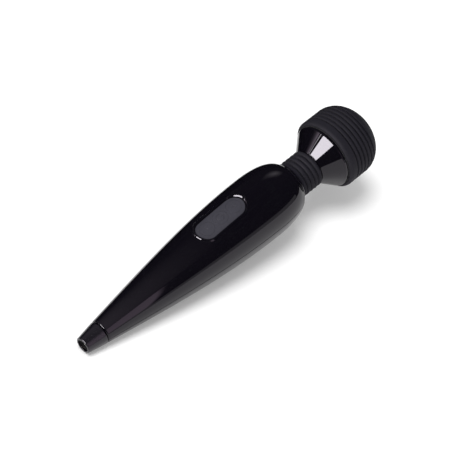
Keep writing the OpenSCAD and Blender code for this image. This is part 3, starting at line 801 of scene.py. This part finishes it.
def make_jack_contact():
    """Gilded leaf with a flared mouth, bowed in towards the pin."""
    start, end = span("jack_contact")
    outer_r = span("jack_contact", 2)[1] - AXIS_Z
    half_w = span("jack_contact", 1)[1]
    leaf_t = 0.35
    bow = 0.45
    bowed_end = 11
    columns, rows = 14, 40
    bm = bmesh.new()
    layers = []
    for depth in (0, leaf_t):
        grid = []
        for i in range(rows + 1):
            s = start + (end - start) * i / rows
            u = min(1, (s - start) / (bowed_end - start))
            dip = bow * math.sin(math.pi * u) ** 2 + depth
            r = outer_r - dip
            line = []
            for j in range(columns + 1):
                y = half_w * (2 * j / columns - 1) * r / outer_r
                line.append(bm.verts.new(point(s, y, math.sqrt(r * r - y * y))))
            grid.append(line)
        layers.append(grid)
    for grid in layers:
        for a, b in zip(grid, grid[1:]):
            for j in range(columns):
                bm.faces.new([a[j], a[j + 1], b[j + 1], b[j]])
    bridge(bm, [grid_rim(grid) for grid in layers])
    add_piece("jack_contact_leaf", bm, "handle", "jack_contact", "gold_plate")


make_tail_cap()
make_jack_pin()
make_jack_contact()


# ---- keypad ----
PANEL_EDGE_ROLL = 0.3
KEY_EDGE_ROLL = 0.06
PAD_RING_STEP = 0.45
FLOOR_RINGS = 12
KEY_RING_STEP = 0.1
KEY_SIDES = 160
KEY_GAP = 0.1
MARK_DEPTH = 0.15
MARK_HALF_W = 0.28
MARK_SOFTNESS = 0.12
STEM_POST_R = 2
STEM_TOP = span("stem_power", 2)[1] - AXIS_Z


def roll_rings(half_w, step, depth, roll):
    """(size, depth) from a pad's middle out over its rounded rim."""
    flat = half_w - roll
    count = round(flat / step)
    rings = [(flat * i / count, depth) for i in range(count + 1)]
    for i in range(1, 6):
        a = math.radians(i * 18)
        rings.append((flat + roll * math.sin(a), depth + roll * (1 - math.cos(a))))
    return rings


def make_keypad_panel():
    """Stadium-shaped pad that follows the handle, with a hole for each key."""
    per_flank, per_end = 44, 48
    outline = []
    for side in (1, -1):
        for i in range(per_flank):
            outline.append((side * STADIUM_HALF * (2 * i / per_flank - 1), -side, 0))
        for i in range(per_end):
            a = math.pi * i / per_end - math.pi / 2
            outline.append((side * STADIUM_HALF, side * math.sin(a), side * math.cos(a)))
    rings = roll_rings(PANEL_HALF_W, PAD_RING_STEP, PAD_DEPTH, PANEL_EDGE_ROLL)
    rings += [(PANEL_HALF_W * k / FLOOR_RINGS, PANEL_FLOOR) for k in range(FLOOR_RINGS, -1, -1)]
    bm = bmesh.new()
    lines = [
        [bm.verts.new(on_handle(ds + size * c, size * s, depth)) for ds, s, c in outline]
        for size, depth in rings
    ]
    bridge(bm, lines)
    bmesh.ops.remove_doubles(bm, verts=bm.verts, dist=MERGE_DISTANCE)
    bmesh.ops.dissolve_degenerate(bm, dist=MERGE_DISTANCE, edges=bm.edges)
    holes = bmesh.new()
    for station in KEY_STATIONS:
        hole_r = KEY_R + KEY_GAP
        stepped_post(holes, station, 0, [(BOARD_TOP, hole_r), (BELLY_R + 1, hole_r)], 128)
    panel = combine(bm, [("DIFFERENCE", holes)])
    add_piece("keypad_panel_skin", panel, "handle", "keypad_panel", "keypad_silicone")


def bar_distance(x, y, x0, x1, half_w):
    """Distance outside a straight bar along X."""
    return max(x0 - x, x - x1, abs(y) - half_w)


def mark_depth(name, x, y):
    """How far a key's mark is sunk at a place measured from the key's middle."""
    arm = 1.7
    ring_r = 3
    gap_half_w = 0.9
    bar_start, bar_end = 1.1, 4
    if name == "key_minus":
        outside = bar_distance(y, x, -arm, arm, MARK_HALF_W)
    elif name == "key_plus":
        outside = min(bar_distance(x, y, -arm, arm, MARK_HALF_W),
                      bar_distance(y, x, -arm, arm, MARK_HALF_W))
    else:
        ring = abs(math.hypot(x, y) - ring_r) - MARK_HALF_W
        if x > 0:
            ring = max(ring, gap_half_w - abs(y))
        outside = min(ring, bar_distance(x, y, bar_start, bar_end, MARK_HALF_W))
    t = min(1, max(0, 0.5 - outside / MARK_SOFTNESS))
    return MARK_DEPTH * t * t * (3 - 2 * t)


def make_key(name, station, body):
    """Round key with its mark, and under it the post that meets the switch's plunger."""
    ds = station - KEYPAD_STATION
    rings = roll_rings(KEY_R, KEY_RING_STEP, PAD_DEPTH, KEY_EDGE_ROLL)
    rings += [(KEY_R, PANEL_FLOOR), (STEM_POST_R, PANEL_FLOOR)]
    bm = bmesh.new()
    lines = []
    for size, depth in rings:
        line = []
        for x, y in circle(size, KEY_SIDES if size else 1):
            sunk = mark_depth(name, x, y) if depth == PAD_DEPTH else 0
            line.append(bm.verts.new(on_handle(ds + x, y, depth + sunk)))
        lines.append(line)
    foot = [bm.verts.new(point(station + x, y, STEM_TOP)) for x, y in circle(STEM_POST_R, KEY_SIDES)]
    bridge(bm, lines + [foot])
    bm.faces.new(foot)
    add_piece(name + "_skin", bm, body, name, "keypad_silicone")


make_keypad_panel()
for key, key_station in zip(KEYS, KEY_STATIONS):
    make_key(key, key_station, key.replace("key_", "") + "_button")


# ---- neck ----
RIDGES = 5
RIDGE_R = 15.6
NECK_GROOVE_R = 13.8
CONE_START, CONE_END = span("head_cone")
RIDGES_START = MOUTH + 0.4
RIDGES_END = CONE_START - 0.3
NECK_BORE_R = 12.4
FRONT_BORE_R = 10.3
FRONT_SLEEVE_R = 12.2
FLANGE_R = 18
NECK_MIDDLE = (RIDGES_START + RIDGES_END) / 2
STEPS_PER_RIDGE = 24


def ridge_points(first, last):
    """Outline of the ridges between two ridge numbers: full crests and narrow valleys."""
    points = []
    for i in range(int(first * STEPS_PER_RIDGE), int(last * STEPS_PER_RIDGE) + 1):
        u = i / STEPS_PER_RIDGE
        crest = abs(math.sin(math.pi * u)) ** 0.5
        points.append((RIDGES_START + (RIDGES_END - RIDGES_START) * u / RIDGES,
                       NECK_GROOVE_R + (RIDGE_R - NECK_GROOVE_R) * crest))
    return points


def bore_points(start, end, radius):
    """A straight bore with enough points to bend, ends included."""
    count = max(1, round(abs(end - start) / 1.5))
    return [(start + (end - start) * i / count, radius) for i in range(count + 1)]


def add_bending(name, node, rear, front, slot, sharp=SHARP_ANGLE):
    """A piece in two halves, a rear and a front one, each baked in place with no body."""
    piece = add_piece(name + "_rear", rear, None, node, slot, sharp)
    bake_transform(piece)
    piece = add_piece(name + "_front", front, None, node, slot, sharp)
    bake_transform(piece)


def make_bellows():
    """Ribbed sleeve, held by a flange inside the shell and another inside the cone."""
    back, front = span("neck_bellows")
    sleeve_r = MOUTH_R - 0.4
    flange = front - 1.7
    flange_r = FRONT_SLEEVE_R + 1.3
    narrowing = CONE_START - 2
    rear = [(back, NECK_BORE_R), (back, FLANGE_R), (CAVITY_END, FLANGE_R), (CAVITY_END, sleeve_r)]
    rear += [(RIDGES_START - 0.3, sleeve_r), (RIDGES_START, sleeve_r - 0.3)]
    rear += ridge_points(0, RIDGES / 2)
    rear += bore_points(NECK_MIDDLE, back, NECK_BORE_R)[:-1]
    ahead = ridge_points(RIDGES / 2, RIDGES)
    ahead += [(CONE_START - 0.2, NECK_GROOVE_R), (CONE_START - 0.2, FRONT_SLEEVE_R)]
    ahead += [(flange, FRONT_SLEEVE_R), (flange, flange_r)]
    ahead += [(front, flange_r), (front, FRONT_BORE_R), (narrowing, FRONT_BORE_R)]
    ahead += bore_points(narrowing, NECK_MIDDLE, NECK_BORE_R)
    add_bending("neck_bellows", "neck_bellows", lathe(rear, 160), lathe(ahead, 160), "silicone",
                SOFT_ANGLE)


def tube(points, radius, sides=12):
    """A closed round tube along points in metres."""
    points = [Vector(p) for p in points]
    bm = bmesh.new()
    rings = []
    side = None
    for i, p in enumerate(points):
        ahead = points[min(i + 1, len(points) - 1)] - points[max(i - 1, 0)]
        ahead.normalize()
        if side is None:
            side = ahead.orthogonal()
        side = (side - ahead * side.dot(ahead)).normalized()
        other = ahead.cross(side)
        rings.append([bm.verts.new(p + u * side + v * other) for u, v in circle(radius * MM, sides)])
    bridge(bm, rings)
    bm.faces.new(rings[0])
    bm.faces.new(rings[-1])
    return bm


def make_spring():
    """Round-wire spring inside the neck, in two halves that meet in its middle."""
    wire_r = 0.7
    mean_r = 8.8
    turns = 8
    per_turn = 40
    back, front = [s + k for s, k in zip(span("neck_spring"), (wire_r, -wire_r))]
    count = turns * per_turn
    route = []
    for i, (y, z) in enumerate(circle(mean_r, per_turn) * turns + [(mean_r, 0)]):
        route.append(point(back + (front - back) * i / count, y, z))
    split = round(count * (NECK_MIDDLE - back) / (front - back))
    rear, ahead = tube(route[:split + 1], wire_r), tube(route[split:], wire_r)
    add_bending("neck_spring", "neck_spring", rear, ahead, "steel")


def make_motor_wires():
    """Two leads from the circuit board through the spring to the motor's terminals."""
    wire_r = 0.65
    end = span("motor_wires")[1]
    under_board = BOARD_BOTTOM - wire_r - 0.1
    inside_y = 2
    terminal_y = 5
    spread_length = 3.4
    for side, label in ((1, "left"), (-1, "right")):
        rise = bezier([
            (BOARD_END - 1, under_board), (BOARD_END + 14, under_board + 0.75),
            (BOARD_END + 10, 0), (BOARD_END + 32, 0),
        ], 40)
        straight = [(s, 0) for s in np.arange(BOARD_END + 33, NECK_MIDDLE, 1.0)]
        rear = [point(s, side * inside_y, z) for s, z in rise + straight + [(NECK_MIDDLE, 0)]]
        ahead = [point(s, side * inside_y, 0) for s in np.arange(NECK_MIDDLE, end - 4, 1.0)]
        for t in np.linspace(0, 1, 9):
            y = inside_y + (terminal_y - inside_y) * t * t * (3 - 2 * t)
            ahead.append(point(end - spread_length * (1 - t), side * y, 0))
        add_bending("motor_wire_" + label, "motor_wires", tube(rear, wire_r), tube(ahead, wire_r),
                    "wire_grey")


make_bellows()
make_spring()
make_motor_wires()


# ---- head ----
CONE_SMALL_R = 14.6
CONE_BIG_R = span("head_cone", 1)[1]
RIM_STATION = CONE_END - 2
CONE_WALL = 2.2
CONE_SCREW_RING_R = 19.2
CONE_BOSS_START = 248
CONE_BOSS_R = 2.6
CONE_HOLE_START = 250.5
CONE_HOLE_R = 1.15
CAP_START = span("head_cap")[0]
LIP_INNER_R = HEAD_R - 3
LIP_EDGE_R = LIP_INNER_R + 0.4
BAND_STATION = CAP_START + 3
DOME_STATION = 277.5
CAP_END_WALL = 3.2
FIRST_GROOVE = 264.6
GROOVE_PITCH = 3.8
GROOVES = 6
GROOVE_DEPTH = 1.5
GROOVE_HALF_W = 1.0
LAND_DROP = 0.28


def post_along_x(bm, start, end, y, z, radius, sides=32):
    rings = [[bm.verts.new(point(s, y + u, z + v)) for u, v in circle(radius, sides)]
             for s in (start, end)]
    bm.faces.new(rings[0])
    bm.faces.new(rings[1])
    bridge(bm, rings)


def make_cone():
    """Hollow cone with three screw posts inside, each cut off where it meets the wall."""
    slope = (CONE_BIG_R - CONE_SMALL_R) / (RIM_STATION - CONE_START)
    wall_r = CONE_WALL * math.sqrt(1 + slope * slope)
    inner_start = CONE_START + 2.6
    inner_start_r = CONE_SMALL_R + slope * (inner_start - CONE_START) - wall_r
    inner_end_r = CONE_BIG_R - CONE_WALL
    inner_end = RIM_STATION + (wall_r - CONE_WALL) / slope
    neck_hole_r = FRONT_SLEEVE_R + 0.1
    edge = 0.35
    rim_edge = 0.3
    outline = [(CONE_START, neck_hole_r)]
    outline += arc(CONE_START + edge, CONE_SMALL_R - 0.1, -edge, 0.35, 90, 35, 5)
    outline += run((CONE_START + edge + 0.1, CONE_SMALL_R + slope * (edge + 0.1)),
                   (RIM_STATION - rim_edge, CONE_BIG_R - slope * rim_edge))
    outline += run((RIM_STATION + 0.1, CONE_BIG_R), (CONE_END - 0.2, CONE_BIG_R))
    outline += [(CONE_END, CONE_BIG_R - 0.2)]
    outline += [(CONE_END, inner_end_r), (inner_end, inner_end_r), (inner_start, inner_start_r)]
    outline += [(inner_start, neck_hole_r)]
    bosses, holes = bmesh.new(), bmesh.new()
    for turn in (0, 120, 240):
        a = math.radians(turn)
        y, z = -CONE_SCREW_RING_R * math.sin(a), CONE_SCREW_RING_R * math.cos(a)
        post_along_x(bosses, CONE_BOSS_START, CONE_END, y, z, CONE_BOSS_R)
        post_along_x(holes, CONE_HOLE_START, CONE_END + 1, y, z, CONE_HOLE_R)
    keep = lathe([(CONE_START + 1, 0), (CONE_START + 1, CONE_SMALL_R - 0.5),
                  (RIM_STATION, CONE_BIG_R - 1), (CONE_END, CONE_BIG_R - 1), (CONE_END, 0)], 96)
    posts = combine(bosses, [("INTERSECT", keep)])
    cone = combine(lathe(outline), [("UNION", posts), ("DIFFERENCE", holes)])
    add_piece("head_cone_skin", cone, "head", "head_cone", "shell_gloss")


def cap_surface(station):
    """Radius of the cap without its grooves, from its rolled lip onwards."""
    u = max(0, (station - DOME_STATION) / (LENGTH - DOME_STATION))
    return HEAD_R * math.sqrt(1 - u * u)


def groove_depth(station):
    """Narrow grooves with rounded lands between them."""
    nearest = round((station - FIRST_GROOVE) / GROOVE_PITCH)
    nearest = min(max(nearest, 0), GROOVES - 1)
    away = abs(station - FIRST_GROOVE - nearest * GROOVE_PITCH)
    land = LAND_DROP * max(0, 1 - away * 2 / GROOVE_PITCH) ** 2
    if away > GROOVE_HALF_W:
        return land
    return land + (GROOVE_DEPTH - LAND_DROP) * (0.5 + 0.5 * math.cos(math.pi * away / GROOVE_HALF_W))


def make_cap():
    """Hollow silicone cap: rolled lip, plain band, grooves, and a dome over the end."""
    step = 0.2
    dome_start = 288
    outline = arc(BAND_STATION, LIP_EDGE_R, CAP_START - BAND_STATION, HEAD_R - LIP_EDGE_R, 90, 0, 26)
    stations = np.arange(BAND_STATION + step, dome_start, step)
    outline += [(s, cap_surface(s) - groove_depth(s)) for s in stations]
    dome_ds = LENGTH - DOME_STATION
    start_angle = math.degrees(math.asin((dome_start - DOME_STATION) / dome_ds))
    outline += arc(DOME_STATION, 0, dome_ds, HEAD_R, start_angle, 90, 48)
    inner_end = LENGTH - CAP_END_WALL
    outline += arc(DOME_STATION, 0, inner_end - DOME_STATION, LIP_INNER_R, 90, 0, 24)
    outline += [(CAP_START + 0.3, LIP_INNER_R), (CAP_START, LIP_INNER_R + 0.2)]
    add_piece("head_cap_skin", lathe(outline, 200), "head", "head_cap", "silicone", SOFT_ANGLE)


make_cone()
make_cap()


# ---- floor ----
HALVINGS = 60
FLOOR_HALF = 12
FLOOR_GLOW = 0.2


def resting_tilt():
    """Slope of the surface that touches the belly and the charging end together."""
    body = [(s, handle_r(s)) for s in np.arange(SHELL_START + 60, MOUTH - 2, 0.25)]
    tail = [(END_EDGE, TAIL_END_R), (SHELL_START, SEAM_R)]

    def reach(points, a):
        return max(s * math.sin(a) + r * math.cos(a) for s, r in points)

    low, high = -0.2, 0.2
    for _ in range(HALVINGS):
        middle = (low + high) / 2
        if reach(body, middle) < reach(tail, middle):
            low = middle
        else:
            high = middle
    return low, reach(body, low)


def four_corners(half_w, half_h):
    return (-half_w, -half_h), (half_w, -half_h), (half_w, half_h), (-half_w, half_h)


def make_floor():
    tilt, reach = resting_tilt()
    down = Vector((math.sin(tilt), 0, -math.cos(tilt)))
    centre = Vector(point(0, 0, 0)) + down * reach * MM
    along = Vector((math.cos(tilt), 0, math.sin(tilt)))
    bm = bmesh.new()
    bm.faces.new([bm.verts.new(centre + along * x + Vector((0, y, 0)))
                  for x, y in four_corners(FLOOR_HALF, FLOOR_HALF)])
    f = Finish("floor_paper", specular=0.0)
    f.paint(f.mixed(f.noise(40), (0.83, 0.83, 0.83), (0.84, 0.84, 0.84)))
    f.shader.inputs["Emission Strength"].default_value = FLOOR_GLOW
    f.shader.inputs["Roughness"].default_value = 1
    mesh_object(bm, "floor", f.material)


make_floor()


# ---- light ----
WORLD_DIFFUSE = 0.5
WORLD_GLOSSY = 0.012
SUN_ENERGY = 2.3
SUN_ANGLE = math.radians(34)
SUN_DIRECTION = (0.03, -0.06, -1)


def make_world():
    """White behind the object, soft light on matte surfaces, near black in reflections."""
    world = bpy.data.worlds.new("world")
    world.use_nodes = True
    nodes, links = world.node_tree.nodes, world.node_tree.links
    background = nodes["Background"]
    background.inputs["Color"].default_value = (1, 1, 1, 1)
    path = nodes.new("ShaderNodeLightPath")
    lighting, strength = nodes.new("ShaderNodeMix"), nodes.new("ShaderNodeMix")
    lighting.inputs[2].default_value = WORLD_DIFFUSE
    lighting.inputs[3].default_value = WORLD_GLOSSY
    strength.inputs[3].default_value = 1
    links.new(path.outputs["Is Glossy Ray"], lighting.inputs[0])
    links.new(path.outputs["Is Camera Ray"], strength.inputs[0])
    links.new(lighting.outputs[0], strength.inputs[2])
    links.new(strength.outputs[0], background.inputs["Strength"])
    bpy.context.scene.world = world
    bpy.context.scene.view_settings.view_transform = "Standard"


def make_sun():
    """Wide, soft, and never reflected: it only lights the floor and the matte surfaces."""
    data = bpy.data.lights.new("sun", "SUN")
    data.energy = SUN_ENERGY
    data.angle = SUN_ANGLE
    sun = link_object("sun", data)
    sun.rotation_euler = Vector(SUN_DIRECTION).to_track_quat("-Z", "Y").to_euler()
    sun.visible_glossy = False


def stage_in_reflections(board):
    """Makes a board part of the stage that only reflections see."""
    board.visible_camera = False
    board.visible_diffuse = False
    board.visible_shadow = False


def make_black_flag():
    """Dark card past the far side."""
    half_w = 3
    y = 0.1
    bottom, top = -0.2, 0.08
    bm = bmesh.new()
    bm.faces.new([bm.verts.new((x, y, z)) for x, z in (
        (-half_w, bottom), (half_w, bottom), (half_w, top), (-half_w, top))])
    f = Finish("flag_cloth", specular=0.0)
    f.paint(f.mixed(f.noise(4), (0.0, 0.0, 0.0), (0.002, 0.002, 0.002)))
    stage_in_reflections(mesh_object(bm, "black_flag", f.material))


def past(aim, direction, distance=1.2):
    """The place at a distance from an aim point, in metres."""
    return Vector(aim) + Vector(direction).normalized() * distance


def softbox(name, aim, direction, size, radiance):
    """Rectangular light that glossy surfaces reflect, in a direction from the aim point."""
    data = bpy.data.lights.new(name, "AREA")
    data.shape = "RECTANGLE"
    data.size, data.size_y = size
    data.energy = radiance * math.pi * size[0] * size[1]
    light = link_object(name, data)
    light.location = past(aim, direction)
    light.rotation_euler = Vector(direction).to_track_quat("Z", "Y").to_euler()
    light.visible_diffuse = False
    light.visible_camera = False


def card(name, centre, across, along, size, radiance, colour, fades, power=1.0):
    """Glowing card that only reflections see.

    Its brightness falls to nothing over the fades: the lengths in metres at the left, right,
    bottom and top edges.
    """
    x_axis, y_axis = Vector(across).normalized(), Vector(along).normalized()
    half_w, half_h = size[0] / 2, size[1] / 2
    bm = bmesh.new()
    bm.faces.new([bm.verts.new((x, y, 0)) for x, y in four_corners(half_w, half_h)])
    f = Finish(name + "_cloth", specular=0.0)
    f.paint(f.mixed(f.noise(40), (0, 0, 0), (0.001, 0.001, 0.001)))
    parts = f.nodes.new("ShaderNodeSeparateXYZ")
    f.links.new(f.place, parts.inputs[0])
    left, right, bottom, top = fades
    level = f.ranged(f.noise(400), 0, 1, 0.9, 1.1)
    for axis, edge, inner in ((0, -half_w, left - half_w), (0, half_w, half_w - right),
                              (1, -half_h, bottom - half_h), (1, half_h, half_h - top)):
        slope = f.ranged(parts.outputs[axis], edge, inner, 0, 1)
        level = f.product(level, f.computed("POWER", slope, power))
    f.links.new(f.product(level, radiance), f.shader.inputs["Emission Strength"])
    f.shader.inputs["Emission Color"].default_value = (*colour, 1)
    board = mesh_object(bm, name, f.material)
    turn = Matrix((x_axis, y_axis, x_axis.cross(y_axis))).transposed()
    board.matrix_world = Matrix.Translation(Vector(centre)) @ turn.to_4x4()
    stage_in_reflections(board)


CONE_AIM = point(247, 0, 0)
NOSE_AIM = point(203, 0, 20)
make_world()
make_sun()
make_black_flag()
softbox("main_softbox", CONE_AIM, (-0.78, 0.08, 0.565), size=(0.78, 0.45), radiance=25)
softbox("strip_light", CONE_AIM, (-0.66, 0.535, 0.53), size=(0.03, 0.6), radiance=12)
card("overhead_glow", (0.13, 0.39, 0.65), across=(1, 0, 0), along=(0, 1, 0), size=(0.5, 2.02),
     radiance=0.7, colour=(1, 0.93, 1), fades=(0.02, 0.5, 0.05, 0.05), power=4)
card("far_wall", (1, -4, 0.06), across=(1, 0, 0), along=(0, 0, 1), size=(8, 0.94),
     radiance=0.5, colour=(1, 1, 1), fades=(0.1, 0.1, 0.001, 0.12))
card("warm_card", (-0.043, -0.96, 0.61), across=(1, 0, 0), along=(0, 0.456, 0.89), size=(0.25, 1.04),
     radiance=1.3, colour=(1, 0.83, 0.98), fades=(0.02, 0.02, 0.02, 0.06))
card("strip_spill", past(CONE_AIM, (-0.565, 0.745, 0.355)), across=(0.405, 0.637, -0.656),
     along=(0.72, 0.21, 0.65), size=(0.62, 0.6), radiance=3.7, colour=(1, 0.88, 1),
     fades=(0.001, 0.62, 0.05, 0.05), power=4)
card("nose_card", past(NOSE_AIM, (0.71, 0.436, 0.55)), across=(0.52, -0.85, 0),
     along=(0.4, 0.24, -0.88), size=(0.6, 0.5), radiance=0.9, colour=(1, 0.97, 1),
     fades=(0.28, 0.28, 0.24, 0.24))
